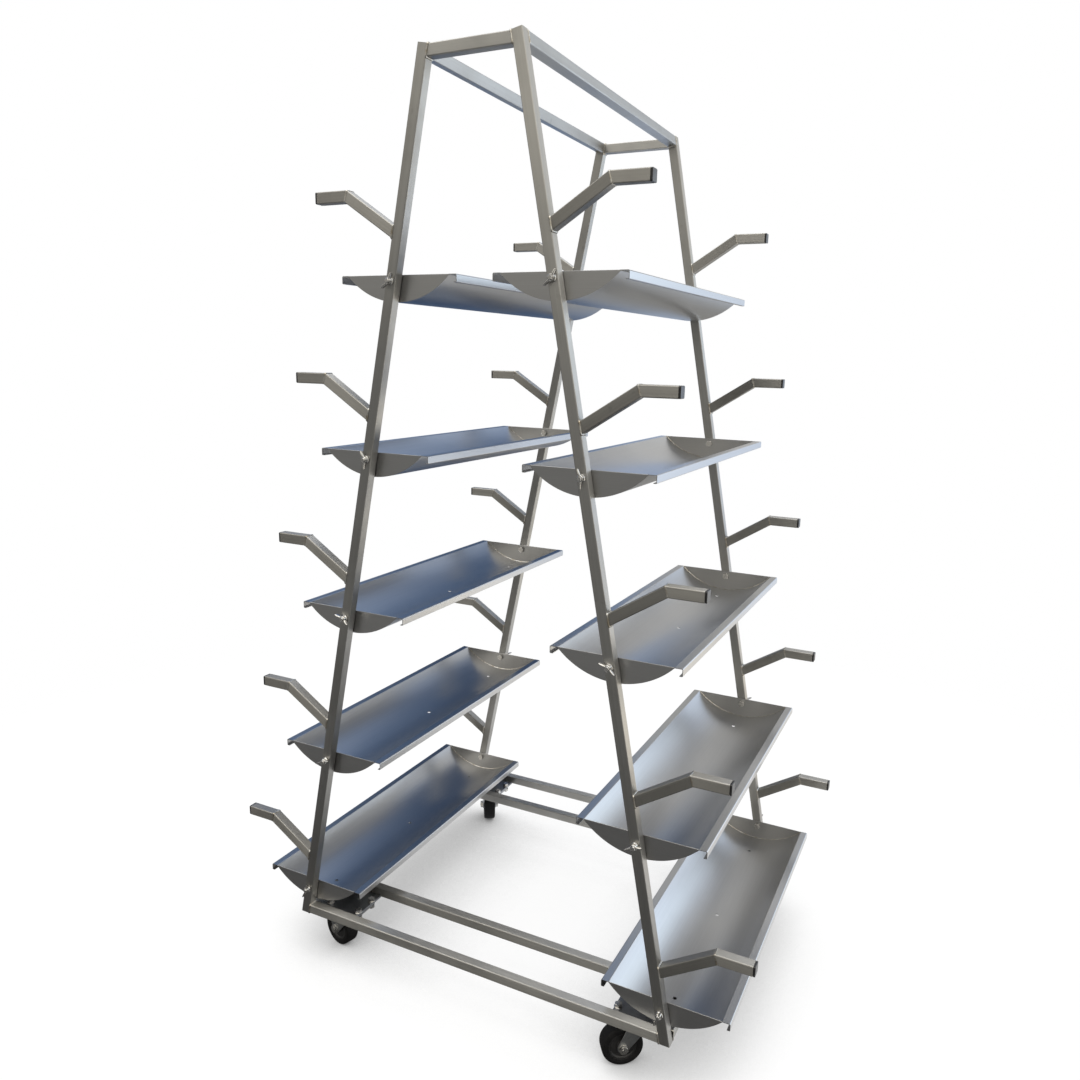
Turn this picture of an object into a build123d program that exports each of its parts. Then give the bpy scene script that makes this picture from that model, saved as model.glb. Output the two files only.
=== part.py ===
from build123d import *

import os
from math import atan, cos, degrees, hypot, radians, sin, tan

# A-frame pastry rack on casters: a welded square-tube frame with tilting troughs on both slopes.
# Frame: +Z up, +X to the right across the A, +Y along the depth from the near A-frame to the far one.
# Origin: on the floor, at the middle of the rack. Millimetres.

# Driving dimensions: the welded frame
tube = 20.0
tube_wall = 1.2
rack_depth = 750.0
foot_width = 838.0
crown_width = 190.0
leg_rise = 1675.0
caster_height = 110.0
base_rail_gap = 100.0

# Driving dimensions: the levels
levels = 5
first_pivot_rise = 60.0
level_pitch = 312.0

# Driving dimensions: the arms and their end caps
arm_above_pivot = 91.0
arm_reach = 96.5
arm_rise = 61.5
arm_tip = 66.0
cap_flange = 4.0
cap_plug = 12.0
cap_clearance = 0.05

# Driving dimensions: the trays
tray_chord = 212.0
tray_sag = 45.0
tray_sheet = 1.2
tray_end_gap = 1.2
pivot_below_rim = 12.0
lip_width = 15.0
lip_drop = 14.0
lip_return = 6.0
drains_per_tray = 3
drain_across = 7.5
drain_from_end = 70.0

# Driving dimensions: the pivot bolts and wing nuts
bolt_radius = 4.0
bolt_head_across = 13.0
bolt_head_height = 5.3
bolt_past_nut = 3.0
running_clearance = 0.05
face_clearance = 0.3
nut_radius = 7.0
nut_height = 9.0
wing_span = 34.0
wing_thickness = 3.0
wing_low = 2.0
wing_tip_low = 6.0
wing_tip_high = 16.0
wing_corner = 3.0
wing_turn_step = 50.0

# Driving dimensions: the caster mounting plates
mount_plate_length = 103.0
mount_plate_thickness = 5.0
caster_inset = 59.0

# Driving dimensions: the casters
caster_plate_length = 86.0
caster_plate_width = 66.0
caster_plate_thickness = 4.0
race_radius = 23.0
race_height = 6.5
kingpin_radius = 6.0
kingpin_nut_across = 18.0
kingpin_nut_height = 4.0
fork_sheet = 3.0
fork_crown_length = 46.0
fork_bend_radius = 4.0
fork_eye_radius = 11.0
caster_trail = 36.0
wheel_radius = 40.0
wheel_width = 30.0
wheel_side_gap = 0.5
axle_radius = 5.0
axle_nut_across = 16.0
axle_nut_height = 7.0
near_left_heading = 165.0
near_right_heading = 215.0
far_left_heading = 123.0
far_right_heading = 200.0

# Driving dimensions: the brake pedals
pedal_pin_radius = 3.0
pedal_pin_reach = 22.0
pedal_pin_rise = 42.0
pedal_eye_radius = 5.5
pedal_sheet = 3.0
pedal_length = 36.0
pedal_pitch = 12.0
pedal_side_gap = 2.0
shoe_bearing = 43.0
shoe_gap = 4.0
shoe_length = 12.0
shoe_thickness = 5.0

# The repeated small holes, shanks and eyes have flat sides, which keeps a rack of so many pieces light.
small_hole_sides = 6
small_shank_sides = 8

# Derived places: the frame
half_depth = rack_depth / 2
lean = degrees(atan((foot_width - crown_width) / 2 / leg_rise))
leg_length = leg_rise / cos(radians(lean))
bore = tube - 2 * tube_wall
foot_trim = tube * tan(radians(lean))
base_low = caster_height
crown_bar_low = caster_height + leg_rise - tube * sin(radians(lean)) - tube
side_rail_inner = foot_width / 2 - tube
outer_rail_y = half_depth - tube / 2
inner_rail_y = half_depth - tube - base_rail_gap - tube / 2
arm_slope = degrees(atan(arm_rise / arm_reach))
strut_overlong = hypot(arm_reach, arm_rise) + 3 * tube

# Derived places: the trays and their bolts
tray_length = rack_depth - 2 * tube - 2 * tray_end_gap
drain_pitch = (tray_length - 2 * drain_from_end) / (drains_per_tray - 1)
drain_depth = 2 * tray_sheet
bolt_hole_radius = bolt_radius + running_clearance
head_seat = tube + tray_end_gap + tray_sheet + face_clearance
bolt_tail = face_clearance + nut_height + bolt_past_nut

# Derived places: the casters
caster_x = side_rail_inner - caster_inset
caster_y = half_depth - tube - base_rail_gap / 2
caster_plate_low = caster_height - caster_plate_thickness
crown_top = caster_plate_low - race_height - face_clearance
crown_low = crown_top - fork_sheet
fork_inside = wheel_width + 2 * wheel_side_gap
fork_outside = fork_inside + 2 * fork_sheet
fork_reach = fork_crown_length + caster_trail + wheel_radius
pedal_pin = (caster_trail + pedal_pin_reach, wheel_radius + pedal_pin_rise)

SIDES = {"left": -1, "right": 1}
ENDS = {"near": -1, "far": 1}
LEVELS = range(1, levels + 1)
CORNERS = [(side, end) for end in ENDS for side in SIDES]
HEADINGS = {
    ("left", "near"): near_left_heading,
    ("right", "near"): near_right_heading,
    ("left", "far"): far_left_heading,
    ("right", "far"): far_right_heading,
}
BRAKED = [("left", "near"), ("right", "far")]


def leg_up(side):
    """Unit vector up the leg."""
    return Vector(-side * sin(radians(lean)), 0, cos(radians(lean)))


def leg_out(side):
    """Unit vector out of the leg's outer face."""
    return Vector(side * cos(radians(lean)), 0, sin(radians(lean)))


def outer_face_x(height):
    """Distance of the legs' outer faces from the middle, at a height above the floor."""
    return foot_width / 2 - (height - base_low) * tan(radians(lean))


def leg_face(side, depth):
    """Plane along a leg with its normal outward, the given depth behind the outer face."""
    outer_foot = Vector(side * foot_width / 2, 0, base_low)
    return Plane(origin=outer_foot - leg_out(side) * depth, x_dir=(0, 1, 0), z_dir=leg_out(side))


def pivot_rise(level):
    """Height of a level's pivots above the floor; level 1 is the highest."""
    return base_low + first_pivot_rise + (levels - level) * level_pitch


def pivot_x(side, level):
    """Pivots stand on the middle line of the leg."""
    return side * (outer_face_x(pivot_rise(level)) - tube / 2 / cos(radians(lean)))


def pivot_plane(side, end, level, turn=0.0):
    """Plane on the leg's face that points out of the rack, at a pivot, with its normal outward."""
    origin = (pivot_x(side, level), end * half_depth, pivot_rise(level))
    x_dir = (cos(radians(turn)), 0, sin(radians(turn)))
    return Plane(origin=origin, x_dir=x_dir, z_dir=(0, end, 0))


def tray_plane(side, level):
    """Upright plane across the middle of a tray, its origin in the middle of the rim."""
    origin = (pivot_x(side, level), 0, pivot_rise(level) + pivot_below_rim)
    return Plane(origin=origin, x_dir=(1, 0, 0), z_dir=(0, -1, 0))


def caster_plane(side, end, heading):
    """Upright plane through a caster's kingpin, its x along the trail and its origin on the floor."""
    trail = (cos(radians(heading)), sin(radians(heading)), 0)
    across = (sin(radians(heading)), -cos(radians(heading)), 0)
    return Plane(origin=(side * caster_x, end * caster_y, 0), x_dir=trail, z_dir=across)


def tube_section():
    """Hollow square section, drawn in the open sketch."""
    Rectangle(tube, tube)
    Rectangle(bore, bore, mode=Mode.SUBTRACT)


def small_hole(radius, mode=Mode.ADD):
    """Six-sided hole that clears a circle of the given radius, drawn in the open sketch."""
    RegularPolygon(radius, small_hole_sides, major_radius=False, rotation=180 / small_hole_sides, mode=mode)


def small_shank(radius):
    """Eight-sided shank inside a circle of the given radius, drawn in the open sketch."""
    RegularPolygon(radius, small_shank_sides)


def small_eye(radius):
    """Eight-sided end of a lug round a hole, drawn in the open sketch."""
    RegularPolygon(radius, small_shank_sides, major_radius=False, rotation=180 / small_shank_sides)


def write(part, name):
    part.label = name
    export_step(part, f"parts/{name}.step")


def make_leg(side, end):
    """Leaning leg, cut level at the foot, cut square and closed at the crown, drilled for the pivot bolts."""
    start = leg_face(side, tube / 2).location.position + Vector(0, end * outer_rail_y, 0)
    below_foot = Plane(origin=start, x_dir=leg_out(side), z_dir=leg_up(side)).offset(-foot_trim)
    with BuildPart() as leg:
        with BuildSketch(below_foot):
            Rectangle(tube, tube)
        extrude(amount=foot_trim + leg_length)
        with BuildSketch(below_foot):
            Rectangle(bore, bore)
        extrude(amount=foot_trim + leg_length - tube_wall, mode=Mode.SUBTRACT)
        split(bisect_by=Plane.XY.offset(base_low), keep=Keep.TOP)
        with BuildSketch(*[pivot_plane(side, end, level) for level in LEVELS]):
            small_hole(bolt_hole_radius)
        extrude(amount=-tube, mode=Mode.SUBTRACT)
    return leg.part


def make_cross_tube(low, middle_y):
    """Tube across one A-frame, its ends cut to the lean of the legs."""
    with BuildPart() as cross:
        with BuildSketch(Plane.YZ):
            with Locations((middle_y, low + tube / 2)):
                tube_section()
        extrude(amount=foot_width / 2, both=True)
        for side in SIDES.values():
            split(bisect_by=leg_face(side, tube), keep=Keep.BOTTOM)
    return cross.part


def make_strut(side, end, level):
    """Rising part of an arm, cut to the leg's outer face below and mitred above."""
    bend = arm_bend(side, end, level)
    run = Vector(side * cos(radians(arm_slope)), 0, sin(radians(arm_slope)))
    square = Vector(side * sin(radians(arm_slope)), 0, -cos(radians(arm_slope)))
    past_bend = bend + square * (tube / 2) + run * tube
    with BuildPart() as strut:
        with BuildSketch(Plane(origin=past_bend, x_dir=(0, 1, 0), z_dir=-run)):
            tube_section()
        extrude(amount=strut_overlong)
        split(bisect_by=arm_mitre(side, end, level), keep=Keep.BOTTOM)
        split(bisect_by=leg_face(side, 0), keep=Keep.TOP)
    return strut.part


def make_tip(side, end, level):
    """Level part of an arm, mitred to its strut and open at its outer end for the cap."""
    before_bend = arm_bend(side, end, level) - Vector(side * tube, 0, tube / 2)
    with BuildPart() as tip:
        with BuildSketch(Plane(origin=before_bend, x_dir=(0, 1, 0), z_dir=(side, 0, 0))):
            tube_section()
        extrude(amount=tube + arm_tip)
        split(bisect_by=arm_mitre(side, end, level), keep=Keep.TOP)
    return tip.part


def make_arm(side, end, level):
    """Strut and tip, welded along their mitre into one piece."""
    strut = make_strut(side, end, level)
    tip = make_tip(side, end, level)
    with BuildPart() as arm:
        add(strut)
        add(tip)
    return arm.part


def arm_bend(side, end, level):
    """Upper corner of the mitre between an arm's strut and its tip."""
    joint_rise = pivot_rise(level) + arm_above_pivot
    return Vector(side * (outer_face_x(joint_rise) + arm_reach), end * outer_rail_y, joint_rise + arm_rise)


def arm_mitre(side, end, level):
    half_slope = radians(arm_slope / 2)
    normal = (side * cos(half_slope), 0, sin(half_slope))
    return Plane(origin=arm_bend(side, end, level), x_dir=(0, 1, 0), z_dir=normal)


def arm_mouth(side, end, level):
    """Plane on the open end of an arm, its normal outward."""
    middle = arm_bend(side, end, level) + Vector(side * arm_tip, 0, -tube / 2)
    return Plane(origin=middle, x_dir=(0, 1, 0), z_dir=(side, 0, 0))


def make_tray(side, level):
    """Sheet bent to a shallow arc, its long edges folded out, down and back, with welded, drilled ends."""
    rim = tray_chord / 2
    edge = rim + lip_width
    upright = tray_plane(side, level)
    inner_faces = [upright.offset(tray_sheet - tray_length / 2), upright.offset(tray_length / 2)]
    with BuildPart() as tray:
        with BuildSketch(upright):
            with BuildLine():
                Polyline((lip_return - edge, -lip_drop), (-edge, -lip_drop), (-edge, 0), (-rim, 0))
                ThreePointArc((-rim, 0), (0, -tray_sag), (rim, 0))
                Polyline((rim, 0), (edge, 0), (edge, -lip_drop), (edge - lip_return, -lip_drop))
                offset(amount=tray_sheet, side=Side.RIGHT, kind=Kind.INTERSECTION, closed=True)
            make_face()
        extrude(amount=tray_length / 2, both=True)
        with BuildSketch(*inner_faces):
            with BuildLine():
                ThreePointArc((-rim, 0), (0, -tray_sag), (rim, 0))
                Line((rim, 0), (-rim, 0))
            make_face()
            with Locations((0, -pivot_below_rim)):
                small_hole(bolt_hole_radius, mode=Mode.SUBTRACT)
        extrude(amount=-tray_sheet)
        bottom = upright.from_local_coords((0, -tray_sag, 0))
        with BuildSketch(Plane(origin=bottom)):
            with GridLocations(0, drain_pitch, 1, drains_per_tray):
                Rectangle(drain_across, drain_across)
        extrude(amount=drain_depth, both=True, mode=Mode.SUBTRACT)
    return tray.part


def make_wing_nut(side, end, level):
    """Wing nut against the leg: hub with two wings that rise outward, turned to where it was left."""
    seat = pivot_plane(side, end, level, wing_turn_step * level).offset(face_clearance)
    upright = Plane(origin=seat.origin, x_dir=seat.x_dir, z_dir=-seat.y_dir)
    half_span = wing_span / 2
    with BuildPart() as nut:
        with BuildSketch(seat):
            small_shank(nut_radius)
        extrude(amount=nut_height)
        with BuildSketch(upright):
            with BuildLine():
                Polyline(
                    (0, wing_low),
                    (nut_radius, wing_low),
                    (half_span, wing_tip_low),
                    (half_span, wing_tip_high - wing_corner),
                    (half_span - wing_corner, wing_tip_high),
                    (nut_radius, nut_height),
                    (0, nut_height),
                    close=True,
                )
            make_face()
            mirror(about=Plane.YZ)
        extrude(amount=wing_thickness / 2, both=True)
        with BuildSketch(seat):
            small_hole(bolt_hole_radius)
        extrude(amount=nut_height, mode=Mode.SUBTRACT)
    return nut.part


def make_fork(side, end, heading, braked):
    """Pressed caster fork: crown, two legs swept back to the axle and, with a brake, ears for its pin."""
    upright = caster_plane(side, end, heading)
    with BuildPart() as fork:
        with BuildSketch(upright):
            with Locations((0, (crown_top + crown_low) / 2)):
                Rectangle(fork_crown_length, fork_sheet)
            with Locations((caster_trail, wheel_radius)):
                small_eye(fork_eye_radius)
            if braked:
                with Locations(pedal_pin):
                    small_eye(pedal_eye_radius)
            make_hull()
        extrude(amount=fork_outside / 2, both=True)
        with BuildSketch(upright):
            with Locations((0, crown_low)):
                Rectangle(2 * fork_reach, crown_low, align=(Align.CENTER, Align.MAX))
        extrude(amount=fork_inside / 2, both=True, mode=Mode.SUBTRACT)
        bends = fork.edges().filter_by(Axis(upright.origin, upright.x_dir)).group_by(Axis.Z)[-1]
        fillet(bends, fork_bend_radius)
        with BuildSketch(Plane(origin=upright.origin, x_dir=upright.x_dir).offset(crown_low)):
            small_hole(kingpin_radius + running_clearance)
        extrude(amount=fork_sheet, mode=Mode.SUBTRACT)
        with BuildSketch(upright):
            with Locations((caster_trail, wheel_radius)):
                small_hole(axle_radius)
        extrude(amount=fork_outside / 2, both=True, mode=Mode.SUBTRACT)
        if braked:
            with BuildSketch(upright):
                with Locations(pedal_pin):
                    small_shank(pedal_pin_radius)
            extrude(amount=fork_inside / 2, both=True)
    return fork.part


def make_axle(side, end, heading):
    """Axle bolt with its head and nut on the outside of the fork."""
    upright = caster_plane(side, end, heading)
    outer_faces = [upright.offset(-fork_outside / 2 - axle_nut_height), upright.offset(fork_outside / 2)]
    with BuildPart() as axle:
        with BuildSketch(upright):
            with Locations((caster_trail, wheel_radius)):
                small_shank(axle_radius)
        extrude(amount=fork_outside / 2 + axle_nut_height / 2, both=True)
        with BuildSketch(*outer_faces):
            with Locations((caster_trail, wheel_radius)):
                RegularPolygon(axle_nut_across / 2, 6, major_radius=False)
        extrude(amount=axle_nut_height)
    return axle.part


def make_wheel(side, end, heading):
    """Solid-tyred wheel that runs on the axle."""
    with BuildPart() as wheel:
        with BuildSketch(caster_plane(side, end, heading)):
            with Locations((caster_trail, wheel_radius)):
                Circle(wheel_radius)
                small_hole(axle_radius + running_clearance, mode=Mode.SUBTRACT)
        extrude(amount=wheel_width / 2, both=True)
    return wheel.part


def make_pedal(side, end, heading):
    """Brake pedal on its pin behind the wheel: foot plate, eye and the shoe that closes on the tread."""
    upright = caster_plane(side, end, heading)
    shoe_radius = wheel_radius + shoe_gap + shoe_thickness / 2
    shoe_x = caster_trail + shoe_radius * cos(radians(shoe_bearing))
    shoe_y = wheel_radius + shoe_radius * sin(radians(shoe_bearing))
    along, over = pedal_length / 2, pedal_eye_radius - pedal_sheet / 2
    plate_x = pedal_pin[0] + along * cos(radians(pedal_pitch)) - over * sin(radians(pedal_pitch))
    plate_y = pedal_pin[1] + along * sin(radians(pedal_pitch)) + over * cos(radians(pedal_pitch))
    with BuildPart() as pedal:
        with BuildSketch(upright):
            with Locations(pedal_pin):
                small_eye(pedal_eye_radius)
            with Locations((shoe_x, shoe_y)):
                Rectangle(shoe_thickness, shoe_length, rotation=shoe_bearing)
            make_hull()
            with Locations((plate_x, plate_y)):
                Rectangle(pedal_length, pedal_sheet, rotation=pedal_pitch)
            with Locations(pedal_pin):
                small_hole(pedal_pin_radius + running_clearance, mode=Mode.SUBTRACT)
        extrude(amount=fork_inside / 2 - pedal_side_gap, both=True)
    return pedal.part


os.makedirs("parts", exist_ok=True)

# Legs, and the arms that stand out of them over each tray
for side, end in CORNERS:
    write(make_leg(SIDES[side], ENDS[end]), f"leg_{end}_{side}")
    arms = [make_arm(SIDES[side], ENDS[end], level) for level in LEVELS]
    write(Compound([arm.solid() for arm in arms]), f"arms_{end}_{side}")

# End caps pressed into the arms
arm_mouths = [arm_mouth(SIDES[side], ENDS[end], level) for side, end in CORNERS for level in LEVELS]
with BuildPart() as arm_end_caps:
    with BuildSketch(*arm_mouths):
        Rectangle(bore - 2 * cap_clearance, bore - 2 * cap_clearance)
    extrude(amount=-cap_plug)
    with BuildSketch(*arm_mouths):
        Rectangle(tube, tube)
    extrude(amount=cap_flange)
write(arm_end_caps.part, "arm_end_caps")

# Crown: a short bar in each A-frame, and a rail along each side turned with the lean
top_bars = [make_cross_tube(crown_bar_low, end * outer_rail_y) for end in ENDS.values()]
write(Compound([bar.solid() for bar in top_bars]), "top_bars")

with BuildPart() as top_rails:
    for side in SIDES.values():
        middle = leg_face(side, tube / 2).origin + leg_up(side) * (leg_length - tube / 2)
        with BuildSketch(Plane(origin=middle, x_dir=leg_out(side), z_dir=(0, 1, 0))):
            tube_section()
    extrude(amount=half_depth - tube, both=True)
write(top_rails.part, "top_rails")

# Base: an outer and an inner cross rail at each end, and a rail along each side between the feet
for end, sign in ENDS.items():
    write(make_cross_tube(base_low, sign * outer_rail_y), f"base_rail_{end}_outer")
    with BuildPart() as inner_rail:
        with BuildSketch(Plane.YZ):
            with Locations((sign * inner_rail_y, base_low + tube / 2)):
                tube_section()
        extrude(amount=side_rail_inner, both=True)
    write(inner_rail.part, f"base_rail_{end}_inner")

with BuildPart() as base_side_rails:
    with BuildSketch(Plane.XZ):
        with Locations((0, base_low + tube / 2)):
            with GridLocations(foot_width - tube, 0, 2, 1):
                tube_section()
    extrude(amount=half_depth - tube, both=True)
write(base_side_rails.part, "base_side_rails")

# Caster mounting plates, let in flush between the base rails
mount_plate_x = side_rail_inner - mount_plate_length / 2
with BuildPart() as caster_mount_plates:
    with BuildSketch(Plane.XY.offset(base_low)):
        with GridLocations(2 * mount_plate_x, 2 * caster_y, 2, 2):
            Rectangle(mount_plate_length, base_rail_gap)
    extrude(amount=mount_plate_thickness)
write(caster_mount_plates.part, "caster_mount_plates")

# Fixed halves of the casters: top plate, swivel race and the kingpin with its nut under the fork
kingpin_nut_top = crown_low - face_clearance
with BuildPart() as caster_top_plates:
    with BuildSketch(Plane.XY.offset(caster_plate_low)):
        with GridLocations(2 * caster_x, 2 * caster_y, 2, 2):
            Rectangle(caster_plate_length, caster_plate_width)
    extrude(amount=caster_plate_thickness)
    with BuildSketch(Plane.XY.offset(caster_plate_low)):
        with GridLocations(2 * caster_x, 2 * caster_y, 2, 2):
            Circle(race_radius)
    extrude(amount=-race_height)
    with BuildSketch(Plane.XY.offset(kingpin_nut_top)):
        with GridLocations(2 * caster_x, 2 * caster_y, 2, 2):
            small_shank(kingpin_radius)
    extrude(amount=crown_top + face_clearance - kingpin_nut_top)
    with BuildSketch(Plane.XY.offset(kingpin_nut_top)):
        with GridLocations(2 * caster_x, 2 * caster_y, 2, 2):
            RegularPolygon(kingpin_nut_across / 2, 6, major_radius=False)
    extrude(amount=-kingpin_nut_height)
write(caster_top_plates.part, "caster_top_plates")

# Swivelling halves of the casters
for side, end in CORNERS:
    place = (SIDES[side], ENDS[end], HEADINGS[side, end])
    braked = (side, end) in BRAKED
    fork = make_fork(*place, braked)
    axle = make_axle(*place)
    write(Compound([fork.solid(), axle.solid()]), f"caster_fork_{end}_{side}")
    write(make_wheel(*place), f"caster_wheel_{end}_{side}")
    if braked:
        write(make_pedal(*place), f"brake_pedal_{end}_{side}")

# Trays, one a level on each side
for level in LEVELS:
    for side, sign in SIDES.items():
        write(make_tray(sign, level), f"tray_{side}_{level}")

# Pivot bolts, head inside the tray, and the wing nuts that clamp the trays to the legs
bolt_places = [pivot_plane(SIDES[side], ENDS[end], level) for side, end in CORNERS for level in LEVELS]
head_seats = [place.offset(-head_seat) for place in bolt_places]
with BuildPart() as pivot_bolts:
    with BuildSketch(*head_seats):
        RegularPolygon(bolt_head_across / 2, 6, major_radius=False)
    extrude(amount=-bolt_head_height)
    with BuildSketch(*head_seats):
        small_shank(bolt_radius)
    extrude(amount=head_seat + bolt_tail)
write(pivot_bolts.part, "pivot_bolts")

for side, end in CORNERS:
    for level in LEVELS:
        write(make_wing_nut(SIDES[side], ENDS[end], level), f"wing_nut_{end}_{side}_{level}")
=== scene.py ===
from itertools import count
from math import asin, atan, ceil, cos, hypot, pi, radians, sin, sqrt, tan

import bpy
from mathutils import Matrix, Vector


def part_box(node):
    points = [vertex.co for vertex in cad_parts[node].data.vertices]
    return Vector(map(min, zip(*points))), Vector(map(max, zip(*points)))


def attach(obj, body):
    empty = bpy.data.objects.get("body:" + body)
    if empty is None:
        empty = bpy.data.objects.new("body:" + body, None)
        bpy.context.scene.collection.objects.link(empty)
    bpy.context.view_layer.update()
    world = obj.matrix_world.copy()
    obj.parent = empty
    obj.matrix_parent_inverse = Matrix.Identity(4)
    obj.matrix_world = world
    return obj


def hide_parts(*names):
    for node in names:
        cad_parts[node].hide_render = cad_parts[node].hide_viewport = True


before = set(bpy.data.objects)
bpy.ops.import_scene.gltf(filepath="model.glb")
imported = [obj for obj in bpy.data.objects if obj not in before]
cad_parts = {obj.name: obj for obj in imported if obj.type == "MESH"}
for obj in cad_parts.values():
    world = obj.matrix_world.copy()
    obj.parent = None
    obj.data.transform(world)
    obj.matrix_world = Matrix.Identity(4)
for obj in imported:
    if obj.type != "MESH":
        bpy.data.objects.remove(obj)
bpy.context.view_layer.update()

# Sizes in metres: X to the right, Y into the picture, Z up, the floor at Z = 0.
MM = 0.001
TUBE, CORNER = 20 * MM, 2.2 * MM
DEPTH, FOOT, CROWN = 750 * MM, 838 * MM, 190 * MM
BASE, RISE, RAIL_GAP = 110 * MM, 1675 * MM, 100 * MM
FIRST_PIVOT, PITCH, LEVELS = 60 * MM, 312 * MM, 5
ARM_UP, ARM_REACH, ARM_RISE, ARM_TIP = 91 * MM, 96.5 * MM, 61.5 * MM, 66 * MM
CAP, CAP_GAP, CAP_SHY = 4 * MM, 0.15 * MM, 0.2 * MM
CHORD, SAG, SHEET, END_GAP, RIM_UP = 212 * MM, 45 * MM, 1.2 * MM, 1.2 * MM, 12 * MM
LIP, LIP_DROP, LIP_RETURN = 15 * MM, 14 * MM, 6 * MM
DRAIN, DRAIN_INSET = 3.75 * MM, 70 * MM
HEAD, HEAD_UP, SHANK, TAIL, GAP = 13 * MM, 5.3 * MM, 4 * MM, 12.3 * MM, 0.3 * MM
PLATE_LONG, PLATE_THICK, CASTER_IN = 103 * MM, 5 * MM, 59 * MM
TOP_PLATE, HOLE_X, HOLE_Y = (86 * MM, 66 * MM, 4 * MM), 37.5 * MM, 22.5 * MM
WHEEL, TREAD, TRAIL, HUB_BORE = 40 * MM, 30 * MM, 36 * MM, 5.1 * MM
FORK_IN, FORK_SHEET, FORK_BEND, FORK_EYE = 31 * MM, 3 * MM, 4 * MM, 10.9 * MM
CROWN_LOW, CROWN_HALF, AXLE = 96.2 * MM, 23 * MM, 4.9 * MM
BRAKE_X, BRAKE_UP, BRAKE_LUG = 58 * MM, 82 * MM, 5.4 * MM
KINGPIN_NUT, AXLE_NUT, PLATE_NUT = (18 * MM, 4 * MM), (15.6 * MM, 5.6 * MM), (HEAD, 6 * MM)

SIDES = {"left": -1, "right": 1}
ENDS = {"near": -1, "far": 1}
CORNERS = [(f"{end}_{side}", SIDES[side], ENDS[end]) for end in ENDS for side in SIDES]
STATIONS = [(f"{corner}_{n}", side, end, n) for corner, side, end in CORNERS for n in range(1, LEVELS + 1)]
HEADINGS = {"near_left": 165, "near_right": 215, "far_left": 123, "far_right": 200}
BRAKED = ("near_left", "far_right")

HALF = DEPTH / 2
LEAN = atan((FOOT - CROWN) / 2 / RISE)
LEG = RISE / cos(LEAN)
RAIL_Y = HALF - TUBE / 2
INNER_Y = RAIL_Y - TUBE - RAIL_GAP
SIDE_INNER = FOOT / 2 - TUBE
TRAY_END = HALF - TUBE - END_GAP
ARC = (CHORD ** 2 / 4 + SAG ** 2) / (2 * SAG)
CASTER_X, CASTER_Y = SIDE_INNER - CASTER_IN, (RAIL_Y + INNER_Y) / 2
X, Y, Z = Vector((1, 0, 0)), Vector((0, 1, 0)), Vector((0, 0, 1))


def mm(*pairs):
    """Pairs given in millimetres, in metres."""
    return [(a * MM, b * MM) for a, b in pairs]


def leg_up(side):
    return Vector((-side * sin(LEAN), 0, cos(LEAN)))


def leg_out(side):
    return Vector((side * cos(LEAN), 0, sin(LEAN)))


def outer_x(height):
    """Distance of a leg's outer face from the middle."""
    return FOOT / 2 - (height - BASE) * tan(LEAN)


def pivot(side, level):
    """The middle of a tray's tilt axis; level 1 is the top."""
    height = BASE + FIRST_PIVOT + (LEVELS - level) * PITCH
    return Vector((side * (outer_x(height) - TUBE / 2 / cos(LEAN)), 0, height))


def arm_root(side, end, level):
    """Where the upper edge of an arm meets the outer face of its leg."""
    height = pivot(side, level).z + ARM_UP
    return Vector((side * outer_x(height), end * RAIL_Y, height))


# Surfaces


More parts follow.
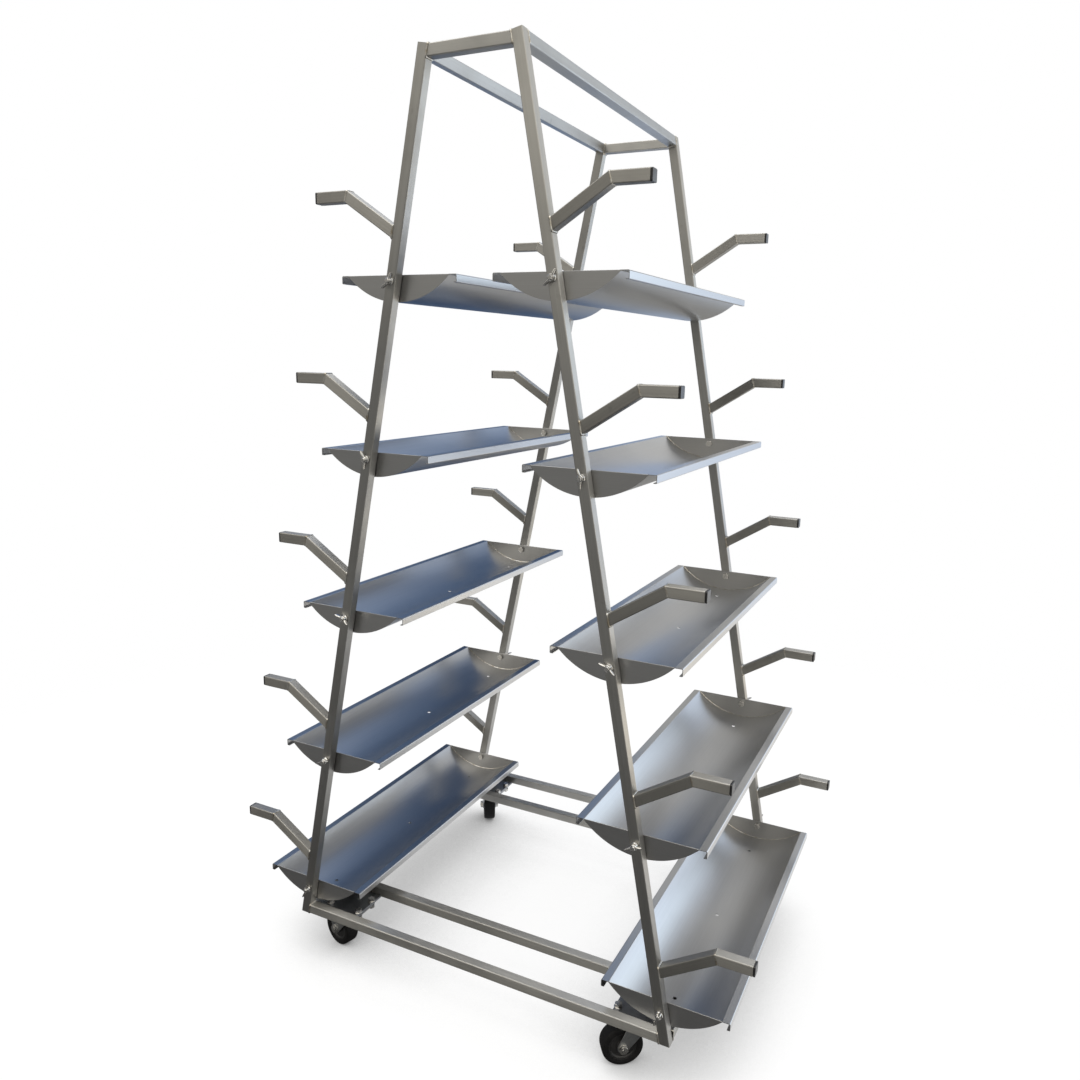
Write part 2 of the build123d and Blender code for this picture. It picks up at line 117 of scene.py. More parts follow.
class Shell:
    """Patches of surface, each with its own normals and with grain coordinates in metres."""

    def __init__(self, shift=0.0):
        self.points, self.normals, self.grain, self.faces, self.slots = [], [], [], [], []
        self.shift = shift

    def grid(self, rows, normals, grain, slot=0):
        """A patch through rows of equally many points."""
        first, wide = len(self.points), len(rows[0])
        for row, turned, along in zip(rows, normals, grain):
            self.points += row
            self.normals += turned
            self.grain += [(u + self.shift, v + self.shift) for u, v in along]
        for i in range(len(rows) - 1):
            for j in range(wide - 1):
                a = first + i * wide + j
                self.face((a, a + 1, a + wide + 1, a + wide), slot)

    def fan(self, ring, normal, across, slot=0):
        """A flat face inside a ring of points, with its grain along `across`."""
        first = len(self.points)
        over = normal.cross(across)
        self.points += ring
        self.normals += [normal] * len(ring)
        self.grain += [(p.dot(across) + self.shift, p.dot(over) + self.shift) for p in ring]
        self.face(tuple(range(first, first + len(ring))), slot)

    def face(self, corners, slot):
        """One face, wound so that it looks along its normals."""
        facing = Vector()
        for k, c in enumerate(corners):
            facing += self.points[c].cross(self.points[corners[(k + 1) % len(corners)]])
        if facing.length < 1e-12:
            return
        wanted = sum((self.normals[c] for c in corners), Vector())
        self.faces.append(corners if facing.dot(wanted) >= 0 else corners[::-1])
        self.slots.append(slot)

    def turned(self, start, rows, slot=0, steps=48):
        """A surface of revolution: rows of (radius, height) about the axes of the matrix `start`."""
        total = 0.0
        ring = [2 * pi * k / steps for k in range(steps + 1)]
        for (r0, h0), (r1, h1) in zip(rows, rows[1:]):
            length = hypot(r1 - r0, h1 - h0)
            if length < 1e-9:
                continue
            nr, nh = (h1 - h0) / length, -(r1 - r0) / length
            points = [[start @ Vector((r * cos(t), r * sin(t), h)) for t in ring]
                      for r, h in ((r0, h0), (r1, h1))]
            facing = [(start.to_3x3() @ Vector((nr * cos(t), nr * sin(t), nh))).normalized() for t in ring]
            grain = [[(t * max(r0, r1), total + k * length) for t in ring] for k in (0, 1)]
            self.grid(points, [facing, facing], grain, slot)
            total += length

    def make(self, name, body, materials, replaces=(), slot=None):
        """The mesh and object of all patches."""
        mesh = bpy.data.meshes.new(name)
        mesh.from_pydata(self.points, [], self.faces)
        layer = mesh.uv_layers.new(name="grain")
        order = [0] * len(mesh.loops)
        mesh.loops.foreach_get("vertex_index", order)
        layer.data.foreach_set("uv", [c for i in order for c in self.grain[i]])
        mesh.polygons.foreach_set("material_index", self.slots)
        mesh.polygons.foreach_set("use_smooth", [True] * len(self.faces))
        mesh.normals_split_custom_set_from_vertices(self.normals)
        for material in materials:
            mesh.materials.append(material)
        return place(name, mesh, Matrix(), body, replaces)

    def stand_for(self, node, finish, materials, body="frame"):
        """The piece that replaces a CAD node, named after it."""
        self.make(f"{node}_{finish}", body, materials, [node])


def new_object(name, data):
    piece = bpy.data.objects.new(name, data)
    bpy.context.scene.collection.objects.link(piece)
    return piece


def place(name, mesh, where, body, replaces=()):
    """An object for a mesh, riding on a body and standing for CAD nodes."""
    piece = new_object(name, mesh)
    piece.matrix_world = where
    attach(piece, body)
    if replaces:
        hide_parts(*replaces)
    return piece


def pattern_mesh(piece):
    """The mesh of a pattern piece, whose own object goes."""
    mesh = piece.data
    bpy.data.objects.remove(piece)
    return mesh


def rounded_ring(wide, deep, radius, steps=4):
    """Points and normals round a rectangle with rounded corners, closed."""
    ring = []
    for k, (sx, sy) in enumerate(((1, 1), (-1, 1), (-1, -1), (1, -1))):
        for i in range(steps + 1):
            t = (k + i / steps) * pi / 2
            x, y = sx * (wide / 2 - radius), sy * (deep / 2 - radius)
            ring.append((x + radius * cos(t), y + radius * sin(t), cos(t), sin(t)))
    return ring + ring[:1]


TUBE_RING = rounded_ring(TUBE, TUBE, CORNER)


def ring_normals(side, over):
    return [nx * side + ny * over for _, _, nx, ny in TUBE_RING]


def tube_run(shell, origin, axis, side, start, finish, capped=(False, False)):
    """A straight square tube between two cutting planes, each a point and a normal."""
    over = axis.cross(side)
    ends, grain = [[], []], [[], []]
    total, last = 0.0, None
    for x, y, _, _ in TUBE_RING:
        line = origin + x * side + y * over
        if last is not None:
            total += hypot(x - last[0], y - last[1])
        last = (x, y)
        for k, (point, facing) in enumerate((start, finish)):
            t = (point - line).dot(facing) / axis.dot(facing)
            ends[k].append(line + t * axis)
            grain[k].append((t, total))
    normals = ring_normals(side, over)
    shell.grid(ends, [normals, normals], grain)
    for k, (_, facing) in enumerate((start, finish)):
        if capped[k]:
            outward = facing.normalized() * (1 if axis.dot(facing) > 0 else -1) * (1 if k else -1)
            shell.fan(ends[k][:-1], outward, side)
    return ends


def bead(shell, ring, outward, lift, width, height, slot=1, ripple=3.2 * MM):
    """A weld bead along a closed ring of points, with the ripples of the torch."""
    spacing, steps = 0.8 * MM, 8
    path, total = [], 0.0
    for (p, n), (q, m) in zip(zip(ring, outward), zip(ring[1:], outward[1:])):
        parts = max(1, ceil((q - p).length / spacing))
        for i in range(parts):
            path.append((p.lerp(q, i / parts), n.lerp(m, i / parts).normalized()))
    path.append(path[0])
    rows, normals, grain = [], [], []
    turn = [2 * pi * k / steps for k in range(steps + 1)]
    for i, (p, n) in enumerate(path):
        if i:
            total += (p - path[i - 1][0]).length
        swell = 1 + 0.13 * sin(2 * pi * total / ripple) + 0.06 * sin(2 * pi * total / (ripple * 3.7) + 1)
        rows.append([p + lift * (width * swell * cos(t)) + n * (height * swell * sin(t)) for t in turn])
        normals.append([(lift * (cos(t) / width) + n * (sin(t) / height)).normalized() for t in turn])
        grain.append([(total, t * width) for t in turn])
    shell.grid(rows, normals, grain, slot)


def edged(shell, where, ring, low, high, edge, steps):
    """A plate between two levels, cut to a closed ring of points and normals, its edges rounded."""
    turn = where.to_3x3()
    rows, facing, grain = [], [], []
    for sign, level in ((-1, low), (1, high)):
        for i in range(steps + 1):
            t = (i if sign > 0 else steps - i) / steps * pi / 2
            inset, height = edge * (1 - cos(t)), level - sign * edge * (1 - sin(t))
            rows.append([where @ Vector((x - nx * inset, y - ny * inset, height)) for x, y, nx, ny in ring])
            facing.append([turn @ Vector((nx * cos(t), ny * cos(t), sign * sin(t))) for _, _, nx, ny in ring])
            grain.append([(MM * k, height) for k in range(len(ring))])
    shell.grid(rows, facing, grain)
    for row, sign in ((rows[0], -1), (rows[-1], 1)):
        shell.fan(row[:-1], turn @ (Z * sign), turn @ X)


def rounded_box(shell, where, size, radius, plan):
    """A box with edges rounded to `radius` and upright corners rounded to `plan`."""
    edged(shell, where, rounded_ring(size[0], size[1], plan), -size[2] / 2, size[2] / 2, radius, 4)


def hexagon(shell, where, across, height, slot=0):
    """A bolt head or nut: a hexagon whose outer corners are turned down to a cone."""
    apothem, steps, parts = across / 2, 48, 8
    cone, crown = 0.75, 0.93
    turn = where.to_3x3()

    def on_side(t, off, low=False):
        r = apothem / cos(off)
        return where @ Vector((r * cos(t), r * sin(t), 0 if low else height - (r - apothem) * cone))

    for k in range(6):
        centre = k * pi / 3
        offs = [(i / parts - 0.5) * pi / 3 for i in range(parts + 1)]
        rows = [[on_side(centre + off, off, low) for off in offs] for low in (True, False)]
        facing = [turn @ Vector((cos(centre), sin(centre), 0))] * len(offs)
        shell.grid(rows, [facing, facing],
                   [[(MM * i, h) for i in range(len(offs))] for h in (0, height)], slot)
    rim, ring, slope = [], [], []
    for k in range(steps + 1):
        t = 2 * pi * k / steps
        rim.append(on_side(t, (t + pi / 6) % (pi / 3) - pi / 6))
        ring.append(where @ Vector((crown * apothem * cos(t), crown * apothem * sin(t), height)))
        slope.append((turn @ Vector((0.5 * cos(t), 0.5 * sin(t), 0.86))).normalized())
    shell.grid([rim, ring], [slope, slope], [[(0, v)] * (steps + 1) for v in (0, MM)], slot)
    shell.fan(ring[:-1], turn @ Z, turn @ X, slot)


def thread(shell, where, radius, low, high, slot=0):
    """The threaded end of a bolt with a small lead chamfer."""
    pitch, deep, tilt, steps = 1.25 * MM, 0.35 * MM, 0.6, 20
    chamfer, taper = 1 * MM, 0.7
    rings = max(6, ceil((high - low) / pitch * 6))
    rows, normals, grain = [], [], []
    turn = where.to_3x3()
    for i in range(rings + 1):
        h = low + (high - low) * i / rings
        row, facing = [], []
        for k in range(steps + 1):
            t = 2 * pi * k / steps
            phase = (h / pitch + k / steps) % 1
            r = radius - deep * (1 - abs(2 * phase - 1)) - max(0, h - high + chamfer) * taper
            row.append(where @ Vector((r * cos(t), r * sin(t), h)))
            facing.append((turn @ Vector((cos(t), sin(t), tilt if phase < 0.5 else -tilt))).normalized())
        rows.append(row)
        normals.append(facing)
        grain.append([(MM * k, h) for k in range(steps + 1)])
    shell.grid(rows, normals, grain, slot)
    shell.fan(rows[-1][:-1], turn @ Z, turn @ X, slot)


# Materials


class Nodes:
    """The node tree of a material or world, and short ways to add nodes to it."""

    def __init__(self, owner, shader="Principled BSDF"):
        owner.use_nodes = True
        self.owner, self.tree = owner, owner.node_tree
        self.shader = self.tree.nodes[shader]

    def add(self, kind, **values):
        node = self.tree.nodes.new(kind)
        for key, value in values.items():
            if key in node.inputs.keys():
                node.inputs[key].default_value = value
            else:
                setattr(node, key, value)
        return node

    def link(self, source, target):
        self.tree.links.new(source, target)

    def feed(self, socket, value):
        """Set a socket to a number or colour, or link an output to it."""
        if isinstance(value, (int, float, tuple)):
            socket.default_value = value
        else:
            self.link(value, socket)

    def split(self, output):
        """X, Y and Z of a texture coordinate."""
        parts = self.add("ShaderNodeSeparateXYZ")
        self.link(self.add("ShaderNodeTexCoord").outputs[output], parts.inputs[0])
        return parts.outputs

    def coordinates(self, scale, output="UV"):
        source = self.add("ShaderNodeTexCoord").outputs[output]
        stretch = self.add("ShaderNodeMapping")
        stretch.inputs["Scale"].default_value = scale
        self.link(source, stretch.inputs["Vector"])
        return stretch.outputs["Vector"]

    def noise(self, scale, detail, rough=0.55, output="UV", unit=1.0):
        node = self.add("ShaderNodeTexNoise", Scale=unit, Detail=detail, Roughness=rough)
        self.link(self.coordinates(scale, output), node.inputs["Vector"])
        return node.outputs["Fac"]

    def cloud(self, unit, detail, rough):
        """Even noise through the body of a piece."""
        return self.noise((1, 1, 1), detail, rough, "Object", unit)

    def spread(self, fac, low, high, floor=0.0, top=1.0, kind="LINEAR"):
        node = self.add("ShaderNodeMapRange", clamp=True, interpolation_type=kind)
        for key, value in (("From Min", low), ("From Max", high), ("To Min", floor), ("To Max", top)):
            node.inputs[key].default_value = value
        self.link(fac, node.inputs["Value"])
        return node.outputs["Result"]

    def blend(self, fac, first, second):
        node = self.add("ShaderNodeMix", data_type="RGBA")
        self.link(fac, node.inputs["Factor"])
        for key, value in (("A", first), ("B", second)):
            socket = [s for s in node.inputs if s.name == key and s.type == "RGBA"][0]
            self.feed(socket, (*value, 1) if isinstance(value, tuple) else value)
        return [s for s in node.outputs if s.type == "RGBA"][0]

    def sweep(self, value, first, *stops, kind="LINEAR"):
        """Colours along a value: each stop is (from, to, colour), with its share where it stays partial."""
        for low, high, after, *share in stops:
            first = self.blend(self.spread(value, low, high, 0.0, *share, kind=kind), first, after)
        return first

    def maths(self, first, second, operation="ADD"):
        node = self.add("ShaderNodeMath", operation=operation)
        for socket, value in zip(node.inputs, (first, second)):
            self.feed(socket, value)
        return node.outputs[0]

    def times(self, first, second):
        return self.maths(first, second, "MULTIPLY")

    def larger(self, first, second):
        return self.maths(first, second, "MAXIMUM")

    def bump(self, height, strength, distance):
        node = self.add("ShaderNodeBump", Strength=strength, Distance=distance)
        self.link(height, node.inputs["Height"])
        return node.outputs["Normal"]

    def set(self, **values):
        for key, value in values.items():
            self.feed(self.shader.inputs[key.replace("_", " ")], value)
        return self.owner


def new_material(name):
    return Nodes(bpy.data.materials.new(name))


def shade_of(colour, share):
    return tuple(c * share for c in colour)


def brushed(name, dark, light, rough, fine, brush=0.6, smear=0.10, relief=0.04, banding=0.45):
    """Brushed stainless steel: fine lines along the grain, broad bands, handling marks."""
    m = new_material(name)
    lines = m.noise((3, fine, 1), 4, 0.65)
    bands = m.noise((1.2, 60, 1), 3, 0.5)
    marks = m.cloud(5.5, 4, 0.6)
    specks = m.cloud(60.0, 2, 0.5)
    tone = m.maths(m.spread(lines, 0.3, 0.7, 0, 1 - banding), m.spread(bands, 0.3, 0.7, 0, banding))
    colour = m.blend(tone, dark, light)
    cloudy = m.sweep(marks, colour, (0.52, 0.75, shade_of(dark, 0.72), smear * 3))
    dusty = m.sweep(specks, cloudy, (0.70, 0.80, shade_of(dark, 0.5), smear * 2.5))
    vary = 0.065 * brush
    roughness = m.maths(m.spread(lines, 0.25, 0.75, rough - vary, rough + vary),
                        m.spread(marks, 0.4, 0.7, -smear / 3, smear))
    grain = m.add("ShaderNodeTangent", direction_type="UV_MAP", uv_map="grain")
    m.link(grain.outputs[0], m.shader.inputs["Tangent"])
    return m.set(Base_Color=dusty, Metallic=1.0, Roughness=roughness, Anisotropic=brush,
                 Anisotropic_Rotation=0.25, Normal=m.bump(lines, relief, 0.0004))


def mottled(name, dark, light, rough, scale):
    """Plated or cast metal: soft crystals, a little grime in the low spots."""
    m = new_material(name)
    cells = m.add("ShaderNodeTexVoronoi", Scale=scale)
    m.link(m.coordinates((1, 1, 1), "Object"), cells.inputs["Vector"])
    cloud = m.cloud(scale * 0.4, 5, 0.6)
    fine = m.cloud(scale * 4, 3, 0.6)
    tone = m.maths(m.spread(cells.outputs["Color"], 0, 1, 0, 0.4), m.spread(cloud, 0.3, 0.7, 0, 0.6))
    colour = m.blend(tone, dark, light)
    dirty = m.sweep(cloud, colour, (0.55, 0.72, shade_of(dark, 0.45), 0.35))
    roughness = m.spread(m.maths(cloud, fine), 0.7, 1.3, rough - 0.08, rough + 0.10)
    return m.set(Base_Color=dirty, Metallic=1.0, Roughness=roughness, Normal=m.bump(fine, 0.15, 0.0003))


def welded(name):
    """Weld metal: bright ripples with straw and brown heat tints."""
    m = new_material(name)
    heat = m.cloud(90.0, 3, 0.6)
    soot = m.cloud(160.0, 4, 0.6)
    tint = m.sweep(heat, (0.62, 0.61, 0.58), (0.40, 0.65, (0.40, 0.35, 0.27)))
    burnt = m.sweep(soot, tint, (0.60, 0.72, (0.10, 0.09, 0.08), 0.75))
    roughness = m.spread(soot, 0.3, 0.7, 0.26, 0.46)
    return m.set(Base_Color=burnt, Metallic=1.0, Roughness=roughness, Normal=m.bump(soot, 0.2, 0.0004))


def soft_black(name, dark, light, rough, scale, depth, dust=0.25, gloss=0.5):
    """Rubber, moulded plastic or paint: near black, with a fine skin and some dust."""
    m = new_material(name)
    skin = m.cloud(scale, 4, 0.6)
    cloud = m.cloud(28.0, 4, 0.6)
    colour = m.sweep(skin, dark, (0.3, 0.7, light))
    dusty = m.sweep(cloud, colour, (0.52, 0.75, (0.11, 0.105, 0.10), dust))
    roughness = m.maths(m.spread(cloud, 0.3, 0.7, rough - 0.06, rough + 0.08),
                        m.spread(skin, 0.3, 0.7, -0.03, 0.03))
    return m.set(Base_Color=dusty, Roughness=roughness, Specular_IOR_Level=gloss,
                 Normal=m.bump(skin, 0.25, depth))


TUBE_STEEL = brushed("stainless_tube", (0.42, 0.414, 0.396), (0.54, 0.534, 0.514), 0.42, 520, 0.85)
# The arms get a darker copy of the tube steel: painted shade, since the arms are the same steel as the legs.
ARM_STEEL_PAINTED_SHADE = brushed("stainless_arm_tube_painted_shade", (0.32, 0.312, 0.292), (0.42, 0.411, 0.388), 0.42, 520, 0.85)
SHEET_STEEL = brushed("stainless_sheet", (0.44, 0.44, 0.44), (0.50, 0.50, 0.50), 0.30, 800,
                      brush=0.2, smear=0.02, relief=0.002, banding=0.12)
WELD = welded("weld_metal")
PLATED = mottled("plated_steel", (0.52, 0.51, 0.49), (0.72, 0.71, 0.69), 0.24, 220)
ZINC = mottled("zinc_plate", (0.30, 0.31, 0.32), (0.46, 0.47, 0.48), 0.40, 130)
PLATE_STEEL = mottled("mount_plate", (0.24, 0.25, 0.27), (0.34, 0.35, 0.37), 0.42, 70)
RUBBER = soft_black("tyre_rubber", (0.006, 0.006, 0.007), (0.014, 0.014, 0.015), 0.62, 700, 0.0003,
                    dust=0.12, gloss=0.22)
PLASTIC = soft_black("cap_plastic", (0.012, 0.012, 0.013), (0.028, 0.028, 0.030), 0.36, 900, 0.0002, 0.15)
PAINT = soft_black("pedal_paint", (0.012, 0.012, 0.013), (0.030, 0.030, 0.032), 0.40, 500, 0.0003)


# The frame

tube_numbers = count(1)


def new_tube_shell():
    """A shell whose grain starts elsewhere along the noise than the last one's."""
    return Shell(next(tube_numbers) * 1.73)


def face_plane(side, depth):
    """A cutting plane along a leg, behind its outer face."""
    return Vector((side * FOOT / 2, 0, BASE)) - leg_out(side) * depth, leg_out(side)


def in_face(normals, out):
    """Directions laid into the plane of a leg's face."""
    return [(n - out * n.dot(out)).normalized() for n in normals]


def cross_rail(shell, y, z):
    """A level tube between the two legs of an A-frame, welded to both."""
    rings = tube_run(shell, Vector((0, y, z)), X, Z, face_plane(-1, TUBE), face_plane(1, TUBE))
    for ring, side in zip(rings, (-1, 1)):
        out = leg_out(side)
        bead(shell, ring, in_face(ring_normals(Z, X.cross(Z)), out), out, width=1.8 * MM, height=2.0 * MM)


def straight_rail(shell, middle, axis, side, reach, width, height):
    """A tube cut square at both ends, with a weld bead round each."""
    for ring in tube_run(shell, middle, axis, side, (-axis * reach, axis), (axis * reach, axis)):
        bead(shell, ring, ring_normals(side, axis.cross(side)), axis, width, height)


for corner, side, end in CORNERS:
    up, out = leg_up(side), leg_out(side)
    foot = Vector((side * FOOT / 2, end * RAIL_Y, BASE)) - out * (TUBE / 2)

    leg = new_tube_shell()
    tube_run(leg, foot, up, out, (Vector((0, 0, BASE)), Z), (foot + up * LEG, up), (True, True))
    leg.stand_for(f"leg_{corner}", "tube", [TUBE_STEEL])

    arms = new_tube_shell()
    level_run = X * side
    for level in range(1, LEVELS + 1):
        arms.shift += 0.61
        root = arm_root(side, end, level)
        bend = root + Vector((side * ARM_REACH, 0, ARM_RISE))
        run = (bend - root).normalized()
        over = Y.cross(run) * (1 if Y.cross(run).z > 0 else -1)
        middle = root - over * (TUBE / 2)
        mitre_way = (run + level_run).normalized()
        mitre, tip = (bend, mitre_way), (bend + level_run * ARM_TIP, X)
        rooted = tube_run(arms, middle, run, over, face_plane(side, 0), mitre)
        tube_run(arms, bend - Z * (TUBE / 2), level_run, Z, mitre, tip, (False, True))
        around = ring_normals(over, run.cross(over))
        bead(arms, rooted[0], in_face(around, out), out, width=1.9 * MM, height=2.1 * MM)
        bead(arms, rooted[1], around, mitre_way, width=1.7 * MM, height=0.55 * MM, ripple=2.6 * MM)
    arms.stand_for(f"arms_{corner}", "tube", [ARM_STEEL_PAINTED_SHADE, WELD])

caps = Shell()
cap_size = (TUBE - CAP_SHY, TUBE - CAP_SHY, CAP - 2 * CAP_GAP)
for _, side, end, level in STATIONS:
    mouth = arm_root(side, end, level) + Vector((side * (ARM_REACH + ARM_TIP), 0, ARM_RISE - TUBE / 2))
    turn = Matrix((Z, Y * side, X * side)).transposed().to_4x4()
    where = Matrix.Translation(mouth + X * side * (CAP / 2 + CAP_GAP)) @ turn
    rounded_box(caps, where, cap_size, 1.1 * MM, plan=2.4 * MM)
caps.stand_for("arm_end_caps", "moulded", [PLASTIC])

bars = new_tube_shell()
cad_low, cad_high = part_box("top_bars")[:2]
bar_z = (cad_low[2] + cad_high[2]) / 2
for end in ENDS.values():
    bars.shift += 0.57
    cross_rail(bars, end * RAIL_Y, bar_z)
bars.stand_for("top_bars", "tube", [TUBE_STEEL, WELD])

rails = new_tube_shell()
for side in SIDES.values():
    rails.shift += 0.57
    middle = Vector((side * FOOT / 2, 0, BASE)) - leg_out(side) * TUBE / 2 + leg_up(side) * (LEG - TUBE / 2)
    straight_rail(rails, middle, Y, leg_out(side), HALF - TUBE, width=1.8 * MM, height=1.2 * MM)
rails.stand_for("top_rails", "tube", [TUBE_STEEL, WELD])

for end_name, end in ENDS.items():
    low = new_tube_shell()
    cross_rail(low, end * RAIL_Y, BASE + TUBE / 2)
    low.stand_for(f"base_rail_{end_name}_outer", "tube", [TUBE_STEEL, WELD])

    low = new_tube_shell()
    middle = Vector((0, end * INNER_Y, BASE + TUBE / 2))
    straight_rail(low, middle, X, Z, SIDE_INNER, width=1.6 * MM, height=1.6 * MM)
    low.stand_for(f"base_rail_{end_name}_inner", "tube", [TUBE_STEEL, WELD])

sills = new_tube_shell()
for side in SIDES.values():
    sills.shift += 0.57
    middle = Vector((side * (FOOT / 2 - TUBE / 2), 0, BASE + TUBE / 2))
    straight_rail(sills, middle, Y, Z, HALF - TUBE, width=1.6 * MM, height=1.2 * MM)
sills.stand_for("base_side_rails", "tube", [TUBE_STEEL, WELD])


# Trays


def fold(corners, steps=6):
    """Points and left-hand normals along a folded line; each corner is (x, z, bend radius)."""
    line = []
    for k, (x, z, radius) in enumerate(corners):
        here = Vector((x, z))
        if k:
            before = (here - Vector(corners[k - 1][:2])).normalized()
        if k + 1 < len(corners):
            after = (Vector(corners[k + 1][:2]) - here).normalized()
        if k == 0:
            before = after
        if k + 1 == len(corners):
            after = before
        if radius <= 0:
            along = (before + after).normalized()
            line.append((x, z, -along.y, along.x))
            continue
        turn = asin(max(-1, min(1, before.cross(after))))
        sign = 1 if turn > 0 else -1
        if before.dot(after) < 0:
            turn = (pi - abs(turn)) * sign
        start = here - before * radius * tan(abs(turn) / 2)
        centre = start + Vector((-before.y, before.x)) * radius * sign
        for i in range(steps + 1):
            t = turn * i / steps
            way = Vector((before.x * cos(t) - before.y * sin(t), before.x * sin(t) + before.y * cos(t)))
            left = Vector((-way.y, way.x))
            line.append((*(centre - left * radius * sign), left.x, left.y))
    return line


def arc_point(s, depth=0.0):
    """A point and inward normal on the trough, a distance round from its lowest line."""
    t = s / ARC
    centre = ARC - SAG
    r = ARC + depth
    return (r * sin(t), centre - r * cos(t)), (-sin(t), cos(t))


def curved(s, y, depth):
    """A point of the tray's sheet, `depth` into its thickness."""
    (x, z), _ = arc_point(s, depth)
    return Vector((x, y, RIM_UP + z))


def facing_in(s, face):
    nx, nz = arc_point(s)[1]
    return Vector((nx, 0, nz)) * face


def sheet_edge(along):
    """Grain across a cut edge of the sheet."""
    return [[(s, 0) for s in along], [(s, SHEET) for s in along]]


def make_trough():
    """A tray about its own pivot axis: folded sheet, welded end plates, three drain holes."""
    shell = Shell()
    rim, edge = CHORD / 2, CHORD / 2 + LIP
    reach = ARC * asin(rim / ARC)
    strip, skip, parts = 10 * MM, 1.6 * MM, 20
    both_ends, both_faces, both_sides = (-TRAY_END, TRAY_END), ((1, 0.0), (-1, SHEET)), (0.0, SHEET)

    # The slopes with their lips, down to a strip along the bottom that holds the drains
    lip = [(LIP_RETURN - edge, -LIP_DROP, 0), (-edge, -LIP_DROP, 1.7 * MM),
           (-edge, 0, 2.2 * MM), (-rim, 0, 3 * MM)]
    slope = [(*arc_point(-reach + skip + (reach - skip - strip) * i / parts)[0], 0) for i in range(parts + 1)]
    line = fold(lip + slope)
    line[-1] = (*arc_point(-strip)[0], *arc_point(-strip)[1])
    lengths = [0.0]
    for a, b in zip(line, line[1:]):
        lengths.append(lengths[-1] + hypot(b[0] - a[0], b[1] - a[1]))

    def folded(mirror, y, depth):
        return [Vector((mirror * (x - nx * depth), y, RIM_UP + z - nz * depth)) for x, z, nx, nz in line]

    for mirror in (1, -1):
        for face, depth in both_faces:
            facing = [Vector((mirror * nx, 0, nz)) * face for _, _, nx, nz in line]
            grain = [[(y, mirror * (s - lengths[-1] - strip)) for s in lengths] for y in both_ends]
            shell.grid([folded(mirror, y, depth) for y in both_ends], [facing, facing], grain)
        for y in both_ends:
            rows = [folded(mirror, y, d) for d in both_sides]
            shell.grid(rows, [[Y if y > 0 else -Y] * len(line)] * 2, sheet_edge(lengths))
        rows = [[folded(mirror, y, d)[0] for d in both_sides] for y in both_ends]
        shell.grid(rows, [[X * mirror] * 2] * 2, [[(y, d) for d in both_sides] for y in both_ends])

    # The strip with its drains
    holes = [-(TRAY_END - DRAIN_INSET), 0.0, TRAY_END - DRAIN_INSET]
    cuts = [-TRAY_END] + [h + k * strip for h in holes for k in (-1, 1)] + [TRAY_END]
    across = [strip * (i / 8 - 1) for i in range(17)]
    turns = [2 * pi * i / 64 for i in range(65)]
    for face, depth in both_faces:
        for span in zip(cuts[::2], cuts[1::2]):
            rows = [[curved(s, y, depth) for s in across] for y in span]
            facing = [facing_in(s, face) for s in across]
            shell.grid(rows, [facing, facing], [[(y, s) for s in across] for y in span])
        for h in holes:
            square, circle = [], []
            for t in turns:
                c, d = cos(t), sin(t)
                m = max(abs(c), abs(d))
                square.append((strip * c / m, h + strip * d / m))
                circle.append((DRAIN * c, h + DRAIN * d))
            middle = [((a[0] + 2 * b[0]) / 3, (a[1] + 2 * b[1]) / 3) for a, b in zip(square, circle)]
            rings = (square, middle, circle)
            rows = [[curved(s, y, depth) for s, y in ring] for ring in rings]
            normals = [[facing_in(s, face) for s, y in ring] for ring in rings]
            shell.grid(rows, normals, [[(y, s) for s, y in ring] for ring in rings])
            if face > 0:
                walls = [[curved(s, y, d) for s, y in circle] for d in both_sides]
                inward = [Vector((-s, h - y, 0)).normalized() for s, y in circle]
                shell.grid(walls, [inward] * 2, sheet_edge([s for s, _ in circle]))
    for y in both_ends:
        rows = [[curved(s, y, d) for s in across] for d in both_sides]
        shell.grid(rows, [[Y if y > 0 else -Y] * len(across)] * 2, sheet_edge(across))

    # End plates, with a rounded upper edge and the weld inside
    round_s = [reach * (i / 24 - 1) for i in range(49)]
    soft, seam_size, seam_turns = SHEET / 2, 0.8 * MM, (0, 0.4, 0.8, 1.2, pi / 2)
    for end in (-1, 1):
        for y, normal in ((end * TRAY_END, Y * end), (end * (TRAY_END - SHEET), Y * -end)):
            ring = [curved(s, y, 0.0) for s in round_s]
            ring[0].z = ring[-1].z = RIM_UP - soft
            shell.fan(ring, normal, X)
        rows, facing, grain = [], [], []
        for i in range(7):
            t = pi * i / 6
            way = Vector((0, cos(t), sin(t)))
            rows.append([Vector((x, end * (TRAY_END - soft), RIM_UP - soft)) + way * soft
                         for x in (-rim, rim)])
            facing.append([way] * 2)
            grain.append([(x, t * soft) for x in (-rim, rim)])
        shell.grid(rows, facing, grain)
        inner = Y * -end
        inward = [facing_in(s, 1) for s in round_s]
        rows = []
        for s, n in zip(round_s, inward):
            p = curved(s, end * (TRAY_END - SHEET), 0.0)
            rows.append([p + inner * seam_size * cos(t) + n * seam_size * sin(t) for t in seam_turns])
        facing = [[(inner + n).normalized()] * len(seam_turns) for n in inward]
        shell.grid(rows, facing, [[(s, MM * k) for k in range(len(seam_turns))] for s in round_s], 1)
    return shell.make("tray_shape", "frame", [SHEET_STEEL, WELD])


tray_mesh = pattern_mesh(make_trough())
for side_name, side in SIDES.items():
    for level in range(1, LEVELS + 1):
        name = f"tray_{side_name}_{level}"
        place(f"{name}_sheet", tray_mesh, Matrix.Translation(pivot(side, level)), name, [name])


# Bolts and wing nuts

